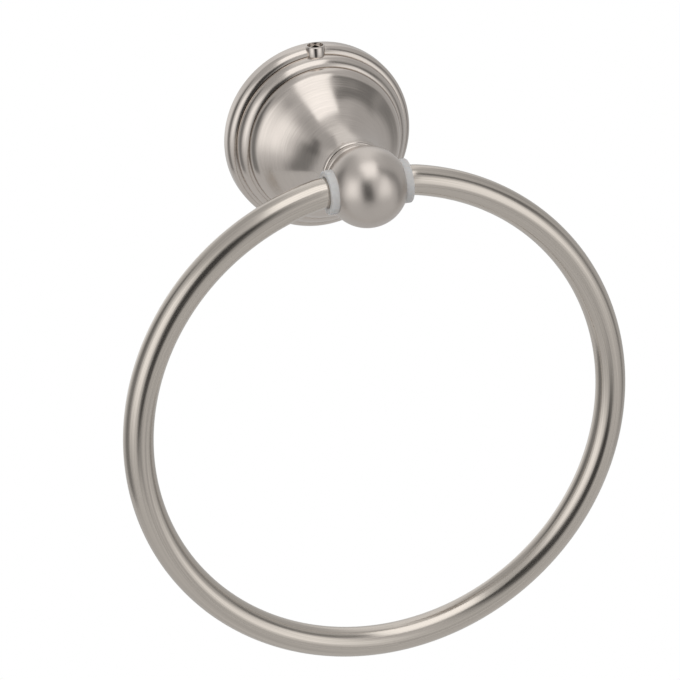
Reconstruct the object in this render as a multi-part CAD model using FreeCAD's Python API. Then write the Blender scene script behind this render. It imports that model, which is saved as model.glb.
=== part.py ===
import FreeCAD, Part
import math
import os

# Towel ring: a stepped bell escutcheon on a hidden wall bracket, a ball head on its neck,
# and a bent tube ring that swings in two nylon bushings in the ball.
# The wall is the plane Y = 0, the object stands out towards -Y, and the ring hangs towards -Z.
# Heights are measured from the wall towards the room, radii from the axis of the escutcheon.

# Rim of the escutcheon
rim_radius = 30.25
outer_round_height = 2.6
outer_round_radius = 2.9
outer_round_turn = 78.0
inner_round_height = 5.9
inner_round_radius = 4.1
inner_round_turn = 69.0
groove_width = 0.2
groove_depth = 0.35

# Shoulder, neck and collar
shoulder_radius = 5.8
shoulder_turn = 54.0
shoulder_drop = 0.23
neck_radius = 8.6
neck_height = 39.2
flare_radius = 0.9
flare_turn = 60.0
collar_radius = 10.7
collar_rise = 2.65
collar_bead_radius = 0.95
collar_bead_start = -70.0

# Inside of the escutcheon
shell_thickness = 1.9
rim_thickness = 2.75
shelf_thickness = 1.45
web_thickness = 2.8

# Ball head
ball_radius = 12.8
ball_rise = 11.35
base_inset = 0.5
base_thickness = 2.35
base_edge = 0.35
reveal_height = 0.45
reveal_depth = 1.0
spigot_radius = 5.5
spigot_flat = 4.4
spigot_length = 2.5
spigot_clearance = 0.1

# Ring
tube_diameter = 9.5
tube_wall = 1.2
ring_outer_diameter = 165.0
ring_bend_radius = 14.0
ring_end_gap = 8.0

# Bushings
running_clearance = 0.05
bushing_wall = 1.02
bushing_fit = 0.03
bushing_end = 3.5
flange_radius = 6.9
flange_thickness = 2.6
flange_edge = 0.4
mouth_chamfer = 0.35
flat_margin = 0.1
bend_start_gap = 0.1

# Wall bracket
bracket_width = 18.0
bracket_clearance = 0.3
bracket_recess = 0.2
bracket_edge = 0.4
screw_spacing = 30.0
screw_hole_radius = 2.25
countersink_radius = 4.3
vee_depth = 1.1

# Set screw in its boss on top of the rim
boss_radius = 3.0
boss_rise = 0.5
boss_edge = 0.3
boss_root = 1.0
set_screw_radius = 2.5
set_screw_height = 4.4
set_screw_recess = 0.7
set_screw_tip_radius = 0.5
set_screw_tip_gap = 0.55
set_screw_chamfer = 0.25
set_screw_key = 2.5
set_screw_key_depth = 2.0
thread_clearance = 0.03

# Screw and spring washer inside the neck
post_screw_radius = 2.5
post_screw_head_radius = 4.4
post_screw_head_height = 3.2
post_screw_key = 4.0
post_screw_key_depth = 2.0
post_screw_hole_clearance = 0.3
post_screw_end_gap = 0.6
bore_floor = 1.3
washer_radius = 4.5
washer_thickness = 1.2
washer_gap = 1.0

# How far a cut runs past the surface it opens
cut_overrun = 1.0

# Places worked out from the sizes above
collar_height = neck_height + collar_rise
ball_height = collar_height + ball_rise
tube_radius = tube_diameter / 2
bend_circle_radius = (ring_outer_diameter - tube_diameter) / 2
bushing_bore_radius = tube_radius + running_clearance
sleeve_radius = bushing_bore_radius + bushing_wall
cross_bore_radius = sleeve_radius + bushing_fit
ball_flat_x = math.sqrt(ball_radius ** 2 - (flange_radius + flat_margin) ** 2)
flange_outer_x = ball_flat_x + flange_thickness
rounds = (
    (outer_round_height, outer_round_radius, outer_round_turn),
    (inner_round_height, inner_round_radius, inner_round_turn),
)


def wall_inside(wall_radius, round_radius, round_turn):
    """Radius of the next wall, inside a round and its groove."""
    return wall_radius - round_radius * (1 - math.cos(math.radians(round_turn))) - groove_width


step_radius = wall_inside(rim_radius, outer_round_radius, outer_round_turn)
shoulder_base_radius = wall_inside(step_radius, inner_round_radius, inner_round_turn)
inner_round_top = inner_round_height + inner_round_radius * math.sin(math.radians(inner_round_turn))
shoulder_centre = (shoulder_base_radius - shoulder_radius, inner_round_top - shoulder_drop)
bracket_bore_radius = step_radius - rim_thickness
bracket_bore_depth = inner_round_top - shelf_thickness
bracket_radius = bracket_bore_radius - bracket_clearance
bracket_thickness = bracket_bore_depth - bracket_recess
boss_top = rim_radius + boss_rise
spigot_end = collar_height - spigot_length
recess_floor = spigot_end - spigot_clearance
web_back = recess_floor - web_thickness
post_hole_end = ball_height - cross_bore_radius - bore_floor


def neck_arc_radius():
    """Radius of the hollow neck arc that runs tangent into the straight slope of the bell."""
    turn = math.radians(shoulder_turn)
    slope_radius = shoulder_centre[0] + shoulder_radius * math.cos(turn)
    slope_height = shoulder_centre[1] + shoulder_radius * math.sin(turn)
    reach = (neck_radius - slope_radius) * math.cos(turn)
    rise = (neck_height - slope_height) * math.sin(turn)
    return (reach + rise) / (1 - math.cos(turn))


neck_arc = neck_arc_radius()
neck_centre = (neck_radius + neck_arc, neck_height)
hollow_arc = neck_arc + shell_thickness
hollow_start = math.degrees(math.asin((neck_height - web_back) / hollow_arc))
hollow_end_radius = neck_centre[0] - hollow_arc * math.cos(math.radians(hollow_start))


class Outline:
    """A closed outline in (radius, height), drawn with lines and arcs and then turned."""

    def __init__(self, radius, height):
        self.start = self.at = (radius, height)
        self.edges = []

    def line_to(self, radius, height):
        if math.dist(self.at, (radius, height)) > 1e-6:
            ends = [FreeCAD.Vector(r, -h, 0) for r, h in (self.at, (radius, height))]
            self.edges.append(Part.LineSegment(*ends).toShape())
        self.at = (radius, height)
        return self

    def arc(self, centre, radius, begin, end):
        """An arc about centre, angles in degrees: 0 points outwards, 90 towards the room."""
        begin, end = math.radians(begin), math.radians(end)
        points = [
            (centre[0] + radius * math.cos(a), centre[1] + radius * math.sin(a))
            for a in (begin, (begin + end) / 2, end)
        ]
        self.line_to(*points[0])
        self.edges.append(Part.Arc(*[FreeCAD.Vector(r, -h, 0) for r, h in points]).toShape())
        self.at = points[2]
        return self

    def turned(self, axis=FreeCAD.Vector(0, 1, 0)):
        self.line_to(*self.start)
        face = Part.Face(Part.Wire(self.edges))
        return face.revolve(FreeCAD.Vector(0, 0, 0), axis, 360)


def rod(radius, start, end):
    """A plain cylinder from start to end."""
    way = end - start
    return Part.makeCylinder(radius, way.Length, start, way)


def on_axis(height):
    return FreeCAD.Vector(0, -height, 0)


def hexagon_prism(across_flats, start, way):
    """A hexagonal prism that fills a key socket."""
    normal = FreeCAD.Vector(way).normalize()
    side = normal.cross(FreeCAD.Vector(1, 0, 0))
    corner_distance = across_flats / math.sqrt(3)
    corners = []
    for turn in range(7):
        corner = FreeCAD.Rotation(normal, 60 * turn).multVec(side) * corner_distance
        corners.append(start + corner)
    return Part.Face(Part.makePolygon(corners)).extrude(way)


def keyed_boss(radius, flat, start_height, end_height):
    """A round boss with two flats that stops the ball from turning."""
    boss = rod(radius, on_axis(start_height), on_axis(end_height))
    length = end_height - start_height
    slab_corner = FreeCAD.Vector(-flat, -end_height, -radius)
    return boss.common(Part.makeBox(2 * flat, length, 2 * radius, slab_corner))


def escutcheon():
    """Stepped rim with its boss, bell, neck and collar in one hollow casting."""
    outline = Outline(bracket_bore_radius, 0).line_to(rim_radius, 0)
    for round_height, round_radius, round_turn in rounds:
        centre = (outline.at[0] - round_radius, round_height)
        outline.arc(centre, round_radius, 0, round_turn)
        groove_floor = outline.at[1] - groove_depth
        outline.line_to(outline.at[0], groove_floor)
        outline.line_to(outline.at[0] - groove_width, groove_floor)
    outline.arc(shoulder_centre, shoulder_radius, 0, shoulder_turn)
    outline.arc(neck_centre, neck_arc, shoulder_turn + 180, 180)
    outline.arc((neck_radius + flare_radius, neck_height), flare_radius, 180, 180 - flare_turn)
    collar_bead = (collar_radius - collar_bead_radius, collar_height - collar_bead_radius)
    outline.arc(collar_bead, collar_bead_radius, collar_bead_start, 90)
    outline.line_to(0, collar_height)
    outline.line_to(0, web_back)
    outline.line_to(hollow_end_radius, web_back)
    outline.arc(neck_centre, hollow_arc, 180 + hollow_start, 180 + shoulder_turn)
    outline.arc(shoulder_centre, shoulder_radius - shell_thickness, shoulder_turn, 0)
    outline.line_to(outline.at[0], bracket_bore_depth)
    outline.line_to(bracket_bore_radius, bracket_bore_depth)
    shell = outline.turned().fuse(set_screw_boss()).removeSplitter()
    recess = keyed_boss(
        spigot_radius + spigot_clearance, spigot_flat + spigot_clearance, recess_floor, collar_height
    )
    screw_hole = rod(post_screw_radius + post_screw_hole_clearance, on_axis(web_back), on_axis(collar_height))
    thread = rod(
        set_screw_radius + thread_clearance,
        FreeCAD.Vector(0, -set_screw_height, bracket_radius),
        FreeCAD.Vector(0, -set_screw_height, boss_top + cut_overrun),
    )
    return shell.cut([recess, screw_hole, thread])


def set_screw_boss():
    """Round boss that the set screw is threaded into, rooted in the wall of the rim."""
    edge_base = FreeCAD.Vector(0, -set_screw_height, boss_top - boss_edge)
    root = FreeCAD.Vector(0, -set_screw_height, bracket_bore_radius + boss_root)
    up = FreeCAD.Vector(0, 0, 1)
    edge = Part.makeCone(boss_radius, boss_radius - boss_edge, boss_edge, edge_base, up)
    return rod(boss_radius, root, edge_base).fuse(edge)


def ball_head():
    """Ball on a round base, with a keyed spigot, a cross bore and two flats for the bushings."""
    base_radius = collar_radius - base_inset
    base_top = collar_height + base_thickness
    seat_radius = base_radius - reveal_depth
    base_bottom = collar_height + reveal_height
    join = -math.degrees(math.asin((ball_height - base_top) / ball_radius))
    outline = Outline(0, collar_height).line_to(seat_radius, collar_height)
    outline.line_to(seat_radius, base_bottom).line_to(base_radius, base_bottom)
    outline.line_to(base_radius, base_top - base_edge)
    outline.line_to(base_radius - base_edge, base_top)
    outline.arc((0, ball_height), ball_radius, join, 90)
    ball = outline.turned().fuse(keyed_boss(spigot_radius, spigot_flat, spigot_end, collar_height))
    cuts = [
        rod(post_screw_radius + thread_clearance, on_axis(spigot_end), on_axis(post_hole_end)),
        rod(
            cross_bore_radius,
            FreeCAD.Vector(-ball_radius, -ball_height, 0),
            FreeCAD.Vector(ball_radius, -ball_height, 0),
        ),
    ]
    for side in (-1, 1):
        flat_at = FreeCAD.Vector(side * ball_flat_x, -ball_height, 0)
        cuts.append(rod(ball_radius, flat_at, flat_at + FreeCAD.Vector(side * ball_radius, 0, 0)))
    return ball.cut(cuts).removeSplitter()


def bushing(side):
    """Flanged nylon sleeve between the ball and one end of the ring."""
    edge = flange_outer_x - flange_edge
    points = [
        (bushing_end, bushing_bore_radius),
        (bushing_end, sleeve_radius),
        (ball_flat_x, sleeve_radius),
        (ball_flat_x, flange_radius),
        (edge, flange_radius),
    ]
    bend = flange_edge * math.sqrt(0.5)
    round_middle = (edge + bend, flange_radius - flange_edge + bend)
    round_end = (flange_outer_x, flange_radius - flange_edge)
    mouth = [
        (flange_outer_x, bushing_bore_radius + mouth_chamfer),
        (flange_outer_x - mouth_chamfer, bushing_bore_radius),
        points[0],
    ]

    def place(point):
        return FreeCAD.Vector(side * point[0], -ball_height - point[1], 0)

    edges = [Part.LineSegment(place(a), place(b)).toShape() for a, b in zip(points, points[1:])]
    edges.append(Part.Arc(place(points[-1]), place(round_middle), place(round_end)).toShape())
    closing = [round_end] + mouth
    edges += [Part.LineSegment(place(a), place(b)).toShape() for a, b in zip(closing, closing[1:])]
    face = Part.Face(Part.Wire(edges))
    return face.revolve(on_axis(ball_height), FreeCAD.Vector(1, 0, 0), 360)


def bent_rod(radius):
    """The ring's solid bar of this radius: straight ends, a short bend at each, and one round."""
    bend_x = flange_outer_x + bend_start_gap
    inner_reach = bend_circle_radius - ring_bend_radius
    drop = ring_bend_radius + math.sqrt(inner_reach ** 2 - bend_x ** 2)
    bend_turn = math.degrees(math.asin(bend_x / inner_reach))
    end_x = ring_end_gap / 2
    runs = []
    for side in (-1, 1):
        inner_end = FreeCAD.Vector(side * end_x, -ball_height, 0)
        bend_begin = FreeCAD.Vector(side * bend_x, -ball_height, 0)
        runs.append(rod(radius, inner_end, bend_begin))
        section = Part.Face(Part.Wire(Part.makeCircle(radius, bend_begin, FreeCAD.Vector(side, 0, 0))))
        bend_centre = bend_begin + FreeCAD.Vector(0, 0, -ring_bend_radius)
        runs.append(section.revolve(bend_centre, FreeCAD.Vector(0, side, 0), bend_turn))
    ring_centre = FreeCAD.Vector(0, -ball_height, -drop)
    start_angle = math.radians(90 - bend_turn)
    reach = FreeCAD.Vector(math.cos(start_angle), 0, math.sin(start_angle)) * bend_circle_radius
    along = FreeCAD.Vector(math.sin(start_angle), 0, -math.cos(start_angle))
    section = Part.Face(Part.Wire(Part.makeCircle(radius, ring_centre + reach, along)))
    runs.append(section.revolve(ring_centre, FreeCAD.Vector(0, 1, 0), 360 - 2 * bend_turn))
    return runs[0].fuse(runs[1:]).removeSplitter()


def ring():
    """One bent tube, open at both ends inside the ball."""
    return bent_rod(tube_radius).cut(bent_rod(tube_radius - tube_wall))


def wall_bracket():
    """Cast bar with round, V-grooved ends and two countersunk holes for wall screws."""
    vee_middle = set_screw_height
    outline = Outline(0, 0).line_to(bracket_radius, 0)
    outline.line_to(bracket_radius, vee_middle - vee_depth)
    outline.line_to(bracket_radius - vee_depth, vee_middle)
    outline.line_to(bracket_radius, vee_middle + vee_depth)
    outline.line_to(bracket_radius, bracket_thickness - bracket_edge)
    outline.line_to(bracket_radius - bracket_edge, bracket_thickness)
    outline.line_to(0, bracket_thickness)
    half = bracket_width / 2
    slab_corner = FreeCAD.Vector(-half, -bracket_thickness, -bracket_radius)
    slab = Part.makeBox(bracket_width, bracket_thickness, 2 * bracket_radius, slab_corner)
    long_edges = [
        edge for edge in slab.Edges
        if edge.BoundBox.ZLength > bracket_radius and edge.BoundBox.YMax < -bracket_thickness / 2
    ]
    bar = outline.turned().common(slab.makeChamfer(bracket_edge, long_edges))
    holes = []
    sink_depth = countersink_radius - screw_hole_radius
    for side in (-1, 1):
        z = side * screw_spacing / 2
        front = FreeCAD.Vector(0, -bracket_thickness, z)
        holes.append(rod(screw_hole_radius, FreeCAD.Vector(0, 0, z), front))
        way = FreeCAD.Vector(0, 1, 0)
        holes.append(Part.makeCone(countersink_radius, screw_hole_radius, sink_depth, front, way))
    return bar.cut(holes)


def set_screw():
    """Socket set screw with a cone point that reaches into the bracket's V-groove."""
    tip = bracket_radius - set_screw_tip_gap
    top = boss_top - set_screw_recess
    shoulder = tip + set_screw_radius - set_screw_tip_radius
    up = FreeCAD.Vector(0, 0, 1)

    def on_screw(z):
        return FreeCAD.Vector(0, -set_screw_height, z)

    cone = Part.makeCone(set_screw_tip_radius, set_screw_radius, shoulder - tip, on_screw(tip), up)
    body = rod(set_screw_radius, on_screw(shoulder), on_screw(top - set_screw_chamfer))
    crown_radius = set_screw_radius - set_screw_chamfer
    crown_base = on_screw(top - set_screw_chamfer)
    crown = Part.makeCone(set_screw_radius, crown_radius, set_screw_chamfer, crown_base, up)
    socket = hexagon_prism(
        set_screw_key, on_screw(top), FreeCAD.Vector(0, 0, -set_screw_key_depth)
    )
    return cone.fuse([body, crown]).removeSplitter().cut(socket)


def post_screw():
    """Cap screw inside the neck that pulls the ball onto the collar."""
    seat = web_back - washer_thickness
    back = seat - post_screw_head_height
    head = rod(post_screw_head_radius, on_axis(back), on_axis(seat))
    shank = rod(post_screw_radius, on_axis(seat), on_axis(post_hole_end - post_screw_end_gap))
    socket = hexagon_prism(
        post_screw_key, on_axis(back), FreeCAD.Vector(0, -post_screw_key_depth, 0)
    )
    return head.fuse(shank).removeSplitter().cut(socket)


def spring_washer():
    """Split washer under the head of the post screw."""
    front = on_axis(web_back)
    back = on_axis(web_back - washer_thickness)
    washer = rod(washer_radius, back, front).cut(rod(post_screw_radius + thread_clearance, back, front))
    slot_corner = FreeCAD.Vector(-washer_gap / 2, -web_back, 0)
    return washer.cut(Part.makeBox(washer_gap, washer_thickness, washer_radius + cut_overrun, slot_corner))


pieces = {
    "wall_bracket": wall_bracket(),
    "escutcheon": escutcheon(),
    "set_screw": set_screw(),
    "post_screw": post_screw(),
    "spring_washer": spring_washer(),
    "ball_head": ball_head(),
    "left_bushing": bushing(-1),
    "right_bushing": bushing(1),
    "ring": ring(),
}

os.makedirs("parts", exist_ok=True)
for name, shape in pieces.items():
    solids = shape.Solids
    whole = solids[0] if len(solids) == 1 else Part.makeCompound(solids)
    whole.exportStep(os.path.join("parts", name + ".step"))
    box = whole.BoundBox
    print(
        "%-14s solids %d valid %s volume %9.1f  X %.2f..%.2f  Y %.2f..%.2f  Z %.2f..%.2f"
        % (name, len(solids), whole.isValid(), whole.Volume,
           box.XMin, box.XMax, box.YMin, box.YMax, box.ZMin, box.ZMax)
    )
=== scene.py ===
import bpy
import math
from mathutils import Matrix, Vector


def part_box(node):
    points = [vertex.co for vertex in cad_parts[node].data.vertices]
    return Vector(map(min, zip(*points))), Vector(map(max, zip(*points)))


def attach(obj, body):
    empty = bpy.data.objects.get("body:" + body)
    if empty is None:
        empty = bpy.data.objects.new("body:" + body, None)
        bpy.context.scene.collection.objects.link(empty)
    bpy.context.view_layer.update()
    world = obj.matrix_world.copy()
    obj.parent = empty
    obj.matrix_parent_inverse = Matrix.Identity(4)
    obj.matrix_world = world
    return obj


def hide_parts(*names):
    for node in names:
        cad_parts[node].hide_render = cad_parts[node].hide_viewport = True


# Satin nickel towel ring on a white studio floor. Sizes are in millimetres, angles in degrees.
# The wall is the plane Y = 0. Heights are measured from it towards the room, which is -Y.

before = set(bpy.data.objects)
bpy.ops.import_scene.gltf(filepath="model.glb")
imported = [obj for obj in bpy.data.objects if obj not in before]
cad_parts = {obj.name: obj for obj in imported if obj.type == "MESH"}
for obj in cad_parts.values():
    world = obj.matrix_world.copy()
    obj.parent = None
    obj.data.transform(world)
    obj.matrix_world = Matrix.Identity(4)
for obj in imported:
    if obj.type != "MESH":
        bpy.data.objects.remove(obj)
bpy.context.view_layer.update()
mm = 0.001
mergeUnder = 0.002  # corners nearer than this become one

# The ball's centre and the bell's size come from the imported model
ringLow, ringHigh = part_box("ring")
ballHeight = -(ringLow.y + ringHigh.y) / 2 / mm
ballRadius = -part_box("ball_head")[0].y / mm - ballHeight
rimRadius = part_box("escutcheon")[1].x / mm
collarHeight = -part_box("escutcheon")[0].y / mm
print("frame loaded: ball %.2f at %.2f" % (ballRadius, ballHeight))
print("rim %.2f, collar %.2f" % (rimRadius, collarHeight))


# Modelling steps shared by the pieces

def deselectAll():
    if bpy.context.object and bpy.context.object.mode != "OBJECT":
        bpy.ops.object.mode_set(mode="OBJECT")
    bpy.ops.object.select_all(action="DESELECT")


def selectOnly(piece):
    deselectAll()
    piece.select_set(True)
    bpy.context.view_layer.objects.active = piece


def arcPoints(centre, radius, begin, end, steps):  # 0 degrees points outwards, 90 towards the room
    angles = [math.radians(begin + (end - begin) * step / steps) for step in range(steps + 1)]
    return [(centre[0] + radius * math.cos(a), centre[1] + radius * math.sin(a)) for a in angles]


def drawOutline(name, corners):  # one vertex, extruded from corner to corner
    deselectAll()
    bpy.ops.mesh.primitive_plane_add(size=mm, location=(0, 0, 0))
    piece = bpy.context.object
    piece.name = name
    piece.data.name = name
    bpy.ops.object.mode_set(mode="EDIT")
    bpy.ops.mesh.select_all(action="SELECT")
    bpy.ops.mesh.merge(type="CENTER")
    bpy.ops.transform.translate(value=corners[0])
    for here, there in zip(corners, corners[1:]):
        bpy.ops.mesh.extrude_region_move(TRANSFORM_OT_translate={"value": there - here})
    return piece


def turnOutline(centre, axis, steps):  # the outline in hand goes once round the axis
    bpy.ops.mesh.select_all(action="SELECT")
    bpy.ops.mesh.spin(steps=steps, angle=math.tau, center=centre, axis=axis)
    tidyShell()


def tidyShell():
    bpy.ops.mesh.select_all(action="SELECT")
    bpy.ops.mesh.remove_doubles(threshold=mergeUnder * mm)
    bpy.ops.mesh.normals_make_consistent(inside=False)
    bpy.ops.object.mode_set(mode="OBJECT")


def turnedAboutBell(name, outline, steps):  # outline in (radius, height)
    piece = drawOutline(name, [Vector((radius, -height, 0)) * mm for radius, height in outline])
    turnOutline((0, 0, 0), (0, 1, 0), steps)
    return piece


def combineWith(piece, other, operation):
    selectOnly(piece)
    step = piece.modifiers.new("combine", "BOOLEAN")
    step.operation = operation
    step.solver = "MANIFOLD"
    step.object = other
    bpy.ops.object.modifier_apply(modifier=step.name)
    bpy.data.objects.remove(other)


def drillRod(radius, depth, location, rotation, vertices):
    deselectAll()
    bpy.ops.mesh.primitive_cylinder_add(
        vertices=vertices, radius=radius * mm, depth=depth * mm, location=location, rotation=rotation
    )
    bpy.ops.object.transform_apply(location=True, rotation=True, scale=True)
    return bpy.context.object


def finishPiece(piece, body, slot, material, *nodes, smoothUnder=35):
    selectOnly(piece)
    bpy.ops.object.transform_apply(location=True, rotation=True, scale=True)
    bpy.ops.object.shade_smooth_by_angle(angle=math.radians(smoothUnder))
    piece.data.materials.clear()
    piece.data.materials.append(material)
    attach(piece, body)
    if nodes:
        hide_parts(*nodes)
    print("%s: %d faces" % (piece.name, len(piece.data.polygons)))


# Node trees shared by the finishes

def newMaterial(name):
    material = bpy.data.materials.new(name)
    material.use_nodes = True
    nodes = material.node_tree.nodes
    return material, nodes, material.node_tree.links, nodes["Principled BSDF"]


def fillSockets(links, sockets, values):  # numbers are set, other nodes' outputs are linked
    for socket, value in zip(sockets, values):
        if isinstance(value, (int, float)):
            socket.default_value = value
        else:
            links.new(value, socket)


def mathNode(nodes, links, operation, *values):
    node = nodes.new("ShaderNodeMath")
    node.operation = operation
    fillSockets(links, node.inputs, values)
    return node.outputs[0]


def combine(nodes, links, *values):
    node = nodes.new("ShaderNodeCombineXYZ")
    fillSockets(links, node.inputs, values)
    return node.outputs[0]


def noise(nodes, links, vector, scale, detail, roughness=0.5):
    node = nodes.new("ShaderNodeTexNoise")
    node.inputs["Scale"].default_value = scale
    node.inputs["Detail"].default_value = detail
    node.inputs["Roughness"].default_value = roughness
    links.new(vector, node.inputs["Vector"])
    return node.outputs["Fac"]


def grainNoise(nodes, links, vector, scale, finish):  # rougher than the clouds
    return noise(nodes, links, vector, scale, finish["grainDetail"], 0.6)


def mapRange(nodes, links, value, *limits, interpolation="LINEAR"):
    node = nodes.new("ShaderNodeMapRange")
    node.interpolation_type = interpolation
    for name, limit in zip(("From Min", "From Max", "To Min", "To Max"), limits):
        node.inputs[name].default_value = limit
    links.new(value, node.inputs["Value"])
    return node.outputs["Result"]


def spread(nodes, links, value, low, high):  # noise lies within 0.3..0.7 and becomes low..high
    return mapRange(nodes, links, value, 0.3, 0.7, low, high)


def objectXyz(nodes, links):
    place = nodes.new("ShaderNodeTexCoord")
    split = nodes.new("ShaderNodeSeparateXYZ")
    links.new(place.outputs["Object"], split.inputs["Vector"])
    return place.outputs["Object"], split.outputs["X"], split.outputs["Y"], split.outputs["Z"]


def tintByShare(nodes, links, shader, colour, share):
    tint = nodes.new("ShaderNodeMix")
    tint.data_type = "RGBA"
    tint.blend_type = "MULTIPLY"
    tint.inputs["Factor"].default_value = 1.0
    tint.inputs["A"].default_value = (*colour, 1)
    links.new(combine(nodes, links, share, share, share), tint.inputs["B"])
    links.new(tint.outputs["Result"], shader.inputs["Base Color"])


def dressMetal(nodes, links, shader, finish, lines, place):
    shader.inputs["Metallic"].default_value = 1.0
    shader.inputs["Anisotropic"].default_value = finish["anisotropy"]
    tintByShare(nodes, links, shader, finish["colour"], spread(nodes, links, lines, *finish["colourShare"]))
    clouds = noise(nodes, links, place, finish["cloudsPerMetre"], finish["cloudDetail"])
    mixed = mathNode(nodes, links, "MULTIPLY", mathNode(nodes, links, "ADD", lines, clouds), 0.5)
    links.new(spread(nodes, links, mixed, *finish["roughness"]), shader.inputs["Roughness"])
    bump = nodes.new("ShaderNodeBump")
    bump.inputs["Distance"].default_value = finish["lineDepth"]
    links.new(lines, bump.inputs["Height"])
    links.new(bump.outputs["Normal"], shader.inputs["Normal"])


def tangentAround(nodes, links, shader, axis):
    tangent = nodes.new("ShaderNodeTangent")
    tangent.direction_type = "RADIAL"
    tangent.axis = axis
    links.new(tangent.outputs["Tangent"], shader.inputs["Tangent"])
    shader.inputs["Anisotropic Rotation"].default_value = 0.25  # highlights stretch across the lines


def grainyMetal(name, finish):
    material, nodes, links, shader = newMaterial(name)
    place = objectXyz(nodes, links)[0]
    grain = grainNoise(nodes, links, place, finish["grainPerMetre"], finish)
    dressMetal(nodes, links, shader, finish, grain, place)
    if finish["anisotropy"]:
        tangentAround(nodes, links, shader, "Z")
    return material


# Satin nickel, brushed round the bell's axis

bellNickel = {
    "colour": (0.655, 0.60, 0.553),
    "colourShare": (0.92, 1.06),
    "roughness": (0.14, 0.20),
    "anisotropy": 0.2,
    "linesPerMetre": 3800,
    "lineLength": 1.8,
    "lineDepth": 0.0000018,
    "grainDetail": 3,
    "cloudsPerMetre": 90,
    "cloudDetail": 2,
}


def brushedRoundBell():
    material, nodes, links, shader = newMaterial("satinNickelBell")
    place, x, y, z = objectXyz(nodes, links)
    radius = mathNode(nodes, links, "SQRT", mathNode(nodes, links, "ADD",
                      mathNode(nodes, links, "POWER", x, 2), mathNode(nodes, links, "POWER", z, 2)))
    across = mathNode(nodes, links, "ADD", y, radius)  # grows steadily along the profile
    turnX = mathNode(nodes, links, "DIVIDE", x, radius)
    turnZ = mathNode(nodes, links, "DIVIDE", z, radius)
    lineLength = bellNickel["lineLength"]
    vector = combine(nodes, links,
                     mathNode(nodes, links, "MULTIPLY", across, bellNickel["linesPerMetre"]),
                     mathNode(nodes, links, "MULTIPLY", turnX, lineLength),
                     mathNode(nodes, links, "MULTIPLY", turnZ, lineLength))
    lines = grainNoise(nodes, links, vector, 1.0, bellNickel)
    dressMetal(nodes, links, shader, bellNickel, lines, place)
    tangentAround(nodes, links, shader, "Y")
    return material


# The bell: stepped rim, shoulder, neck and collar in one hollow casting

bell = {
    "rounds": ((2.6, 2.9, 78.0), (5.9, 4.1, 69.0)),  # height, radius, turn
    "roundSteps": 18,
    "grooveWidth": 0.2,
    "grooveDepth": 0.35,
    "shoulderRadius": 5.8,
    "shoulderTurn": 54.0,
    "shoulderDrop": 0.23,
    "shoulderSteps": 14,
    "neckRadius": 8.6,
    "neckHeight": 39.2,
    "neckSteps": 30,
    "flareRadius": 0.9,
    "flareTurn": 60,
    "flareSteps": 5,
    "collarRadius": 10.7,
    "collarBeadRadius": 0.95,
    "collarBeadStart": -70,
    "collarSteps": 14,
    "shellThickness": 1.9,
    "rimThickness": 2.75,
    "shelfThickness": 1.45,
    "webThickness": 2.8,
    "recessRadius": 5.6,
    "recessDepth": 2.6,
    "screwHoleRadius": 2.8,
    "bossRadius": 3.0,
    "bossTop": 30.75,
    "bossRoot": 1.0,
    "bossRounding": ((0, 0.3), (0.09, 0.12), (0.3, 0)),  # in from the side, down from the top
    "setScrewHoleRadius": 2.53,
    "setScrewHeight": 4.4,
    "setScrewHoleTop": 31.5,
    "setScrewHoleExtra": 1.0,
    "turnSteps": 240,
    "bossSteps": 96,
}


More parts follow.
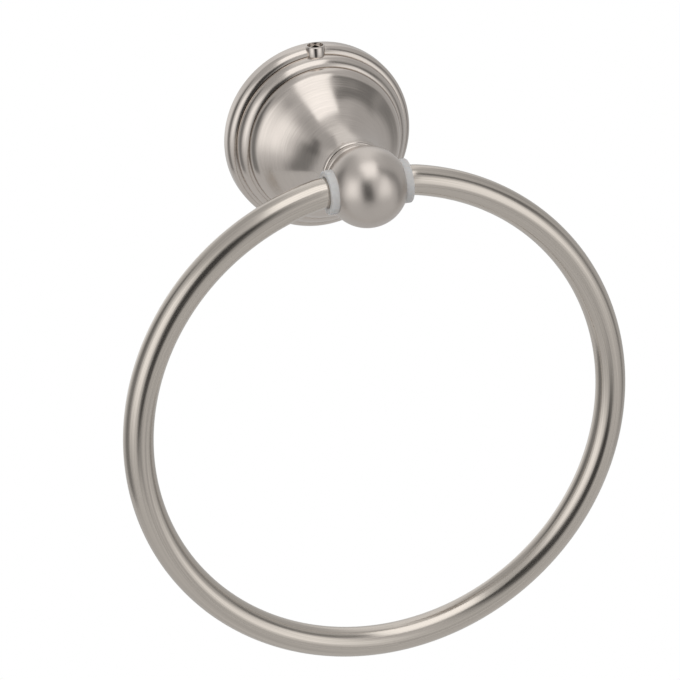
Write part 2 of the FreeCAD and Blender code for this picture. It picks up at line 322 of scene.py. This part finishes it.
def makeBell():
    outline = []
    wall = rimRadius
    for height, radius, turn in bell["rounds"]:
        outline += arcPoints((wall - radius, height), radius, 0, turn, bell["roundSteps"])
        grooveFloor = outline[-1][1] - bell["grooveDepth"]
        outline.append((outline[-1][0], grooveFloor))
        outline.append((outline[-1][0] - bell["grooveWidth"], grooveFloor))
        wall = outline[-1][0]
    secondRound = outline[bell["roundSteps"] + 2][0]
    boreRadius = secondRound - bell["rimThickness"]
    shoulderHeight = outline[-1][1] + bell["grooveDepth"] - bell["shoulderDrop"]
    shelf = outline[-1][1] + bell["grooveDepth"] - bell["shelfThickness"]
    shoulder = (wall - bell["shoulderRadius"], shoulderHeight)
    outline += arcPoints(shoulder, bell["shoulderRadius"], 0, bell["shoulderTurn"], bell["shoulderSteps"])

    turn = math.radians(bell["shoulderTurn"])
    reach = (bell["neckRadius"] - outline[-1][0]) * math.cos(turn)
    rise = (bell["neckHeight"] - outline[-1][1]) * math.sin(turn)
    neckArc = (reach + rise) / (1 - math.cos(turn))
    neckCentre = (bell["neckRadius"] + neckArc, bell["neckHeight"])
    outline += arcPoints(neckCentre, neckArc, bell["shoulderTurn"] + 180, 180, bell["neckSteps"])
    flareCentre = (bell["neckRadius"] + bell["flareRadius"], bell["neckHeight"])
    flareEnd = 180 - bell["flareTurn"]
    outline += arcPoints(flareCentre, bell["flareRadius"], 180, flareEnd, bell["flareSteps"])[1:]
    beadRadius = bell["collarBeadRadius"]
    beadCentre = (bell["collarRadius"] - beadRadius, collarHeight - beadRadius)
    outline += arcPoints(beadCentre, beadRadius, bell["collarBeadStart"], 90, bell["collarSteps"])

    recessFloor = collarHeight - bell["recessDepth"]
    webBack = recessFloor - bell["webThickness"]
    hollowArc = neckArc + bell["shellThickness"]
    hollowStart = math.degrees(math.asin((bell["neckHeight"] - webBack) / hollowArc))
    inner = bell["shoulderRadius"] - bell["shellThickness"]
    outline += [(bell["recessRadius"], collarHeight), (bell["recessRadius"], recessFloor)]
    outline += [(bell["screwHoleRadius"], recessFloor), (bell["screwHoleRadius"], webBack)]
    hollowEnd = bell["shoulderTurn"] + 180
    outline += arcPoints(neckCentre, hollowArc, hollowStart + 180, hollowEnd, bell["neckSteps"])
    outline += arcPoints(shoulder, inner, bell["shoulderTurn"], 0, bell["shoulderSteps"])
    outline += [(shoulder[0] + inner, shelf), (boreRadius, shelf), (boreRadius, 0), (rimRadius, 0)]
    outline.append(outline[0])

    piece = turnedAboutBell("bellCasting", outline, bell["turnSteps"])
    screwFoot = Vector((0, -bell["setScrewHeight"], 0))
    boss = [(0, boreRadius + bell["bossRoot"]), (bell["bossRadius"], boreRadius + bell["bossRoot"])]
    for inwards, down in bell["bossRounding"]:
        boss.append((bell["bossRadius"] - inwards, bell["bossTop"] - down))
    boss.append((0, bell["bossTop"]))
    bossPiece = drawOutline("boss", [(screwFoot + Vector((radius, 0, z))) * mm for radius, z in boss])
    turnOutline(screwFoot * mm, (0, 0, 1), bell["bossSteps"])
    combineWith(piece, bossPiece, "UNION")
    foot = boreRadius - bell["setScrewHoleExtra"]
    depth = bell["setScrewHoleTop"] - foot
    middle = Vector((0, -bell["setScrewHeight"], foot + depth / 2)) * mm
    hole = drillRod(bell["setScrewHoleRadius"], depth, middle, (0, 0, 0), bell["bossSteps"])
    combineWith(piece, hole, "DIFFERENCE")
    finishPiece(piece, "post", "escutcheon_nickel", brushedRoundBell(), "escutcheon")


# The ball on its round base, cross-bored for the ring

ball = {
    "baseRadius": 10.2,
    "baseTop": 44.2,
    "baseEdge": 0.35,
    "seatRadius": 9.2,
    "revealHeight": 0.45,
    "spigotRadius": 5.5,
    "spigotLength": 2.5,
    "screwBoreRadius": 2.53,
    "screwBoreEnd": 46.05,
    "crossBoreRadius": 5.85,
    "flangeRoom": 7.0,
    "sphereSteps": 72,
    "turnSteps": 192,
    "boreSteps": 96,
}

ballNickel = {
    "colour": (0.655, 0.60, 0.553),
    "colourShare": (0.93, 1.04),
    "roughness": (0.28, 0.34),
    "anisotropy": 0.5,
    "grainPerMetre": 6000,
    "lineDepth": 0.000001,
    "grainDetail": 3,
    "cloudsPerMetre": 120,
    "cloudDetail": 2,
}


def flatDistance():  # from the ball's centre to the flats that the bushings' flanges rest on
    return math.sqrt(ballRadius ** 2 - ball["flangeRoom"] ** 2)


def makeBall():
    join = -math.degrees(math.asin((ballHeight - ball["baseTop"]) / ballRadius))
    outline = [(0, ball["screwBoreEnd"]), (ball["screwBoreRadius"], ball["screwBoreEnd"])]
    spigotEnd = collarHeight - ball["spigotLength"]
    outline += [(ball["screwBoreRadius"], spigotEnd), (ball["spigotRadius"], spigotEnd)]
    outline += [(ball["spigotRadius"], collarHeight), (ball["seatRadius"], collarHeight)]
    outline += [(ball["seatRadius"], collarHeight + ball["revealHeight"])]
    outline += [(ball["baseRadius"], collarHeight + ball["revealHeight"])]
    outline += [(ball["baseRadius"], ball["baseTop"] - ball["baseEdge"])]
    outline += [(ball["baseRadius"] - ball["baseEdge"], ball["baseTop"])]
    outline += arcPoints((0, ballHeight), ballRadius, join, 90, ball["sphereSteps"])
    piece = turnedAboutBell("ballHead", outline, ball["turnSteps"])
    flat = flatDistance() * mm
    for side in (-1, 1):
        selectOnly(piece)
        bpy.ops.object.mode_set(mode="EDIT")
        bpy.ops.mesh.select_all(action="SELECT")
        bpy.ops.mesh.bisect(
            plane_co=(side * flat, 0, 0), plane_no=(side, 0, 0), use_fill=True, clear_outer=True
        )
        bpy.ops.object.mode_set(mode="OBJECT")
    centre = Vector((0, -ballHeight, 0)) * mm
    sideways = (0, math.pi / 2, 0)
    bore = drillRod(ball["crossBoreRadius"], 4 * ballRadius, centre, sideways, ball["boreSteps"])
    combineWith(piece, bore, "DIFFERENCE")
    finishPiece(piece, "post", "ball_nickel", grainyMetal("satinNickelBall", ballNickel), "ball_head")


# The two flanged nylon bushings

bushing = {
    "inEnd": 3.5,
    "boreRadius": 4.8,
    "sleeveRadius": 5.82,
    "flangeRadius": 6.9,
    "flangeThickness": 2.6,
    "flangeEdge": 0.4,
    "edgeSteps": 8,
    "mouthChamfer": 0.35,
    "turnSteps": 160,
}

nylon = {
    "colour": (0.73, 0.72, 0.71),
    "roughness": (0.38, 0.5),
    "scatter": 0.35,
    "scatterRadius": (0.0012, 0.0014, 0.0016),
    "ior": 1.53,
    "colourShare": (0.95, 1.05),
    "cloudsPerMetre": 700,
    "cloudDetail": 2,
}


def translucentNylon():
    material, nodes, links, shader = newMaterial("translucentNylon")
    place = objectXyz(nodes, links)[0]
    shader.inputs["Metallic"].default_value = 0.0
    shader.inputs["IOR"].default_value = nylon["ior"]
    shader.inputs["Subsurface Weight"].default_value = nylon["scatter"]
    shader.inputs["Subsurface Radius"].default_value = nylon["scatterRadius"]
    shader.inputs["Subsurface Scale"].default_value = 1.0
    clouds = noise(nodes, links, place, nylon["cloudsPerMetre"], nylon["cloudDetail"])
    tintByShare(nodes, links, shader, nylon["colour"], spread(nodes, links, clouds, *nylon["colourShare"]))
    links.new(spread(nodes, links, clouds, *nylon["roughness"]), shader.inputs["Roughness"])
    return material


def makeBushing(name, side, node, material):
    flat = flatDistance()
    outer = flat + bushing["flangeThickness"]
    edge = bushing["flangeEdge"]
    outline = [(bushing["inEnd"], bushing["boreRadius"]), (bushing["inEnd"], bushing["sleeveRadius"])]
    outline += [(flat, bushing["sleeveRadius"]), (flat, bushing["flangeRadius"])]
    outline += arcPoints((outer - edge, bushing["flangeRadius"] - edge), edge, 90, 0, bushing["edgeSteps"])
    outline += [(outer, bushing["boreRadius"] + bushing["mouthChamfer"])]
    outline += [(outer - bushing["mouthChamfer"], bushing["boreRadius"]), outline[0]]
    corners = [Vector((side * x, -ballHeight - radius, 0)) * mm for x, radius in outline]
    piece = drawOutline(name, corners)
    turnOutline(Vector((0, -ballHeight, 0)) * mm, (1, 0, 0), bushing["turnSteps"])
    finishPiece(piece, "post", "bushing_nylon", material, node)


# The ring: one bent tube with both ends in the bushings

ring = {
    "tubeRadius": 4.75,
    "wall": 1.2,
    "outerDiameter": 165.0,
    "bendRadius": 14.0,
    "endGap": 8.0,
    "bendStart": 13.416,
    "aroundSteps": 72,
    "straightSteps": 6,
    "bendSteps": 12,
    "roundSteps": 260,
}

circleRadius = ring["outerDiameter"] / 2 - ring["tubeRadius"]  # of the tube's centre line

ringNickel = {
    "colour": (0.66, 0.605, 0.545),
    "colourShare": (0.82, 1.09),
    "roughness": (0.15, 0.22),
    "anisotropy": 0.2,
    "linesAround": 15.0,
    "linesPerMetre": 12,
    "lineDepth": 0.000013,
    "grainDetail": 3,
    "cloudsPerMetre": 60,
    "cloudDetail": 2,
}


def brushedAlongTube():
    material, nodes, links, shader = newMaterial("satinNickelRing")
    layout = nodes.new("ShaderNodeUVMap")
    layout.uv_map = "brushing"
    split = nodes.new("ShaderNodeSeparateXYZ")
    links.new(layout.outputs["UV"], split.inputs["Vector"])
    turn = mathNode(nodes, links, "MULTIPLY", split.outputs["X"], math.tau)
    around, along = ringNickel["linesAround"], ringNickel["linesPerMetre"]
    vector = combine(nodes, links,
                     mathNode(nodes, links, "MULTIPLY", split.outputs["Y"], along),
                     mathNode(nodes, links, "MULTIPLY", mathNode(nodes, links, "COSINE", turn), around),
                     mathNode(nodes, links, "MULTIPLY", mathNode(nodes, links, "SINE", turn), around))
    lines = grainNoise(nodes, links, vector, 1.0, ringNickel)
    dressMetal(nodes, links, shader, ringNickel, lines, objectXyz(nodes, links)[0])
    tangent = nodes.new("ShaderNodeTangent")
    tangent.direction_type = "UV_MAP"
    tangent.uv_map = "brushing"
    links.new(tangent.outputs["Tangent"], shader.inputs["Tangent"])
    return material


def makeRing():
    reach = circleRadius - ring["bendRadius"]
    start = ring["bendStart"]
    bendTurn = math.asin(start / reach)
    drop = ring["bendRadius"] + math.sqrt(reach ** 2 - start ** 2)
    ringCentre = Vector((0, -ballHeight, -drop)) * mm
    leftBend = Vector((-start, -ballHeight, -ring["bendRadius"])) * mm
    rightBend = Vector((start, -ballHeight, -ring["bendRadius"])) * mm
    inner = ring["endGap"] / 2
    deselectAll()
    bpy.ops.mesh.primitive_circle_add(
        vertices=ring["aroundSteps"], radius=ring["tubeRadius"] * mm,
        location=Vector((-inner, -ballHeight, 0)) * mm, rotation=(0, math.pi / 2, 0),
    )
    piece = bpy.context.object
    piece.name = "ringTube"
    piece.data.name = "ringTube"
    bpy.ops.object.transform_apply(location=True, rotation=True, scale=True)
    bpy.ops.object.mode_set(mode="EDIT")
    bpy.ops.mesh.select_all(action="SELECT")
    stretch = Vector((-(start - inner) / ring["straightSteps"], 0, 0)) * mm
    for step in range(ring["straightSteps"]):
        bpy.ops.mesh.extrude_region_move(TRANSFORM_OT_translate={"value": stretch})
    bpy.ops.mesh.spin(steps=ring["bendSteps"], angle=bendTurn, center=leftBend, axis=(0, 1, 0))
    bpy.ops.mesh.spin(
        steps=ring["roundSteps"], angle=math.tau - 2 * bendTurn, center=ringCentre, axis=(0, 1, 0)
    )
    bpy.ops.mesh.spin(steps=ring["bendSteps"], angle=bendTurn, center=rightBend, axis=(0, 1, 0))
    for step in range(ring["straightSteps"]):
        bpy.ops.mesh.extrude_region_move(TRANSFORM_OT_translate={"value": stretch})
    tidyShell()
    layOutTube(piece)
    wall = piece.modifiers.new("wall", "SOLIDIFY")
    wall.thickness = ring["wall"] * mm
    wall.offset = -1
    bpy.ops.object.modifier_apply(modifier=wall.name)
    finishPiece(piece, "ring", "ring_nickel", brushedAlongTube(), "ring", smoothUnder=50)


def layOutTube(piece):  # a UV map with U once round the tube and V along it, in metres
    along = ring["outerDiameter"] / 2 * mm
    centre = Vector((0, -ballHeight * mm, -circleRadius * mm))
    mesh = piece.data
    layer = mesh.uv_layers.new(name="brushing")
    for face in mesh.polygons:
        base = None
        for index in face.loop_indices:
            point = mesh.vertices[mesh.loops[index].vertex_index].co - centre
            turn = math.atan2(point.x, point.z)
            outwards = math.hypot(point.x, point.z) - circleRadius * mm
            around = math.atan2(point.y, outwards)
            if base is None:
                base = (around, turn)
            around += math.tau * round((base[0] - around) / math.tau)
            turn += math.tau * round((base[1] - turn) / math.tau)
            layer.data[index].uv = (around / math.tau, turn * along)


# The hexagon socket set screw on top of the rim

setScrew = {
    "radius": 2.5,
    "height": 4.4,
    "tip": 24.15,
    "tipRadius": 0.5,
    "top": 30.05,
    "chamfer": 0.25,
    "key": 2.5,
    "keyDepth": 2.0,
    "keySides": 6,
    "turnSteps": 96,
}

screwSteel = {
    "colour": (0.62, 0.58, 0.54),
    "colourShare": (0.95, 1.03),
    "roughness": (0.12, 0.2),
    "anisotropy": 0.0,
    "grainPerMetre": 1500,
    "lineDepth": 0.00001,
    "grainDetail": 3,
    "cloudsPerMetre": 300,
    "cloudDetail": 2,
}


def makeSetScrew(material):
    radius, tip, top, chamfer = (setScrew[key] for key in ("radius", "tip", "top", "chamfer"))
    tipRadius = setScrew["tipRadius"]
    outline = [(0, tip), (tipRadius, tip), (radius, tip + radius - tipRadius)]
    outline += [(radius, top - chamfer), (radius - chamfer, top), (0, top)]
    piece = drawOutline("setScrew", [Vector((r, -setScrew["height"], z)) * mm for r, z in outline])
    turnOutline(Vector((0, -setScrew["height"], 0)) * mm, (0, 0, 1), setScrew["turnSteps"])
    middle = Vector((0, -setScrew["height"], top)) * mm
    corner = setScrew["key"] / math.sqrt(3)
    socket = drillRod(corner, 2 * setScrew["keyDepth"], middle, (0, 0, 0), setScrew["keySides"])
    combineWith(piece, socket, "DIFFERENCE")
    finishPiece(piece, "post", "screw_steel", material, "set_screw", smoothUnder=25)


# Carried-over pieces: wall bracket, post screw and spring washer

zinc = {
    "colour": (0.46, 0.46, 0.47),
    "colourShare": (0.9, 1.05),
    "roughness": (0.42, 0.6),
    "anisotropy": 0.0,
    "grainPerMetre": 900,
    "lineDepth": 0.00004,
    "grainDetail": 4,
    "cloudsPerMetre": 140,
    "cloudDetail": 3,
}


def dressNode(node, material):
    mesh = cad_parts[node].data
    mesh.materials.clear()
    mesh.materials.append(material)


print("modelling")
steel = grainyMetal("platedSteel", screwSteel)
nylonFinish = translucentNylon()
makeBell()
makeBall()
makeBushing("leftBushing", -1, "left_bushing", nylonFinish)
makeBushing("rightBushing", 1, "right_bushing", nylonFinish)
makeRing()
makeSetScrew(steel)
dressNode("wall_bracket", grainyMetal("castZinc", zinc))
dressNode("post_screw", steel)
dressNode("spring_washer", steel)


# Camera at the photograph's angle

camera = {
    "azimuth": -16.46,
    "elevation": 22.3,
    "roll": -2.86,
    "distance": 1517.6,
    "target": (-4.36, -30.35, -58.96),
    "lens": 254.13,
    "sensor": 36.0,
    "clip": (0.05, 50),
}


def directionTo(azimuth, elevation):  # azimuth 0 is towards the room, 90 to the right
    a, e = math.radians(azimuth), math.radians(elevation)
    return Vector((math.sin(a) * math.cos(e), -math.cos(a) * math.cos(e), math.sin(e)))


def makeCamera():
    back = directionTo(camera["azimuth"], camera["elevation"])
    right = (-back).cross(Vector((0, 0, 1))).normalized()
    up = right.cross(-back)
    roll = math.radians(camera["roll"])
    across = right * math.cos(roll) + up * math.sin(roll)
    upwards = up * math.cos(roll) - right * math.sin(roll)
    place = Vector(camera["target"]) * mm + back * camera["distance"] * mm
    data = bpy.data.cameras.new("camera")
    data.sensor_width = camera["sensor"]
    data.lens = camera["lens"]
    data.clip_start, data.clip_end = camera["clip"]
    holder = bpy.data.objects.new("camera", data)
    bpy.context.scene.collection.objects.link(holder)
    turned = Matrix((across, upwards, back)).transposed().to_4x4()
    holder.matrix_world = Matrix.Translation(place) @ turned
    bpy.context.scene.camera = holder


# Soft studio light: a pale floor and a white tent with soft boxes and darker gaps

studio = {
    "floorHeight": -1150.0,
    "floorSize": 3000.0,
    "floorSquares": 8,
    "floorRoughness": 0.9,
    "floorColour": 0.58,
    "floorLift": 0.9,
    "mirrorLift": 0.2,
    "ambient": 0.57,
}

# White behind the object, seen only in the metal
backdrops = (  # azimuth, elevation, half width, half height, soft edge, lean, share
    (172, 47, 42, 29, 28, 0, 0.75),
    (-170, -4, 22, 14, 24, 0, 0.9),
)

tent = {  # azimuth, elevation, half width, half height, soft edge, lean, light there
    "ceiling": (0, 90, 180, 17, 22, 0, 0.74),
    "rightGap": (110, -1, 28, 46, 20, 0, 0.5),
    "leftGap": (-105, -8, 21, 33, 24, 0, 0.24),
    "upperLeft": (-113, 46, 56, 17, 20, 0, 0.48),
    "leftSlit": (-114, 24, 9, 17, 16, 0, 0.16),
    "upperRight": (60, 38, 14, 25, 14, -0.7, 0.21),
    "rightLow": (82, -9, 8, 22, 16, -0.2, 0.22),
    "leftGlow": (-62, 9, 26, 28, 28, 0, 0.84),
    "leftBox": (-58, 11, 14, 20, 22, 0, 1.26),
    "rightBox": (35, 10, 18, 23, 20, 0, 1.12),
    "frontCorner": (15, 33, 12, 12, 12, 0, 0.6),
    "cameraGap": (-15, 6, 15, 29, 13, -0.15, 0.05),
}

skylight = {  # a flat soft box overhead, at one unit of height: across and towards the room
    "middle": (0.04, 0.53),
    "half": (0.385, 0.505),
    "edge": 0.13,
    "lowest": 0.1,
    "light": 1.42,
}


def howSeen(nodes, links):  # by the camera, and in metal or glass
    path = nodes.new("ShaderNodeLightPath").outputs
    mirrored = mathNode(nodes, links, "ADD", path["Is Glossy Ray"], path["Is Transmission Ray"])
    return path["Is Camera Ray"], mirrored


def makeFloor():
    deselectAll()
    squares = studio["floorSquares"]
    bpy.ops.mesh.primitive_grid_add(
        x_subdivisions=squares, y_subdivisions=squares,
        size=studio["floorSize"] * mm, location=(0, 0, studio["floorHeight"] * mm),
    )
    floor = bpy.context.object
    floor.name = "studioFloor"
    bpy.ops.object.transform_apply(location=True, rotation=True, scale=True)
    material, nodes, links, shader = newMaterial("paleFloor")
    colour = studio["floorColour"]
    shader.inputs["Base Color"].default_value = (colour, colour, colour, 1)
    shader.inputs["Roughness"].default_value = studio["floorRoughness"]
    shader.inputs["Specular IOR Level"].default_value = 0.0
    shader.inputs["Emission Color"].default_value = (1, 1, 1, 1)
    seen, mirrored = howSeen(nodes, links)
    lift = mathNode(nodes, links, "MULTIPLY", seen, studio["floorLift"])
    lift = mathNode(nodes, links, "MULTIPLY_ADD", mirrored, studio["mirrorLift"], lift)
    links.new(lift, shader.inputs["Emission Strength"])
    floor.data.materials.append(material)


def softEdge(nodes, links, apart, half, edge):  # 1 inside, 0 outside
    limits = (half - edge / 2, half + edge / 2, 1.0, 0.0)
    return mapRange(nodes, links, apart, *limits, interpolation="SMOOTHSTEP")


def window(nodes, links, angle, middle, half, edge):
    apart = mathNode(nodes, links, "SUBTRACT", angle, math.radians(middle))
    apart = mathNode(nodes, links, "ABSOLUTE", mathNode(nodes, links, "WRAP", apart, math.pi, -math.pi))
    return softEdge(nodes, links, apart, math.radians(half), math.radians(edge))


def makeWorld():
    world = bpy.data.worlds.new("studioTent")
    bpy.context.scene.world = world
    world.use_nodes = True
    nodes, links = world.node_tree.nodes, world.node_tree.links
    x, y, z = objectXyz(nodes, links)[1:]
    azimuth = mathNode(nodes, links, "ARCTAN2", x, mathNode(nodes, links, "MULTIPLY", y, -1))
    elevation = mathNode(nodes, links, "ARCSINE", z)
    seen, mirrored = howSeen(nodes, links)

    def blendTo(light, level, share):
        change = mathNode(nodes, links, "SUBTRACT", level, light)
        return mathNode(nodes, links, "MULTIPLY_ADD", change, share, light)

    def inside(middle, height, halfWidth, halfHeight, edge, lean):
        upright = window(nodes, links, elevation, height, halfHeight, edge)
        if halfWidth >= 180:  # all the way round
            return upright
        leaning = mathNode(nodes, links, "MULTIPLY_ADD", elevation, -lean, azimuth)
        sideways = window(nodes, links, leaning, middle - lean * height, halfWidth, edge)
        return mathNode(nodes, links, "MULTIPLY", sideways, upright)

    light = studio["ambient"]
    for *shape, share in backdrops:
        behind = mathNode(nodes, links, "MULTIPLY", inside(*shape), share)
        light = blendTo(light, 1.0, mathNode(nodes, links, "MULTIPLY", behind, mirrored))
    for *shape, level in tent.values():
        light = blendTo(light, level, inside(*shape))
    above = mathNode(nodes, links, "MAXIMUM", z, skylight["lowest"])
    across = mathNode(nodes, links, "DIVIDE", x, above)
    towards = mathNode(nodes, links, "DIVIDE", mathNode(nodes, links, "MULTIPLY", y, -1), above)
    panel = mathNode(nodes, links, "GREATER_THAN", z, skylight["lowest"])
    for place, middle, half in zip((across, towards), skylight["middle"], skylight["half"]):
        apart = mathNode(nodes, links, "ABSOLUTE", mathNode(nodes, links, "SUBTRACT", place, middle))
        within = softEdge(nodes, links, apart, half, skylight["edge"])
        panel = mathNode(nodes, links, "MULTIPLY", panel, within)
    light = blendTo(light, skylight["light"], panel)
    light = blendTo(light, 1.0, seen)
    white = nodes["Background"]
    white.inputs["Color"].default_value = (1, 1, 1, 1)
    links.new(light, white.inputs["Strength"])


print("camera and light")
makeCamera()
makeFloor()
makeWorld()
bpy.context.scene.view_settings.view_transform = "Standard"
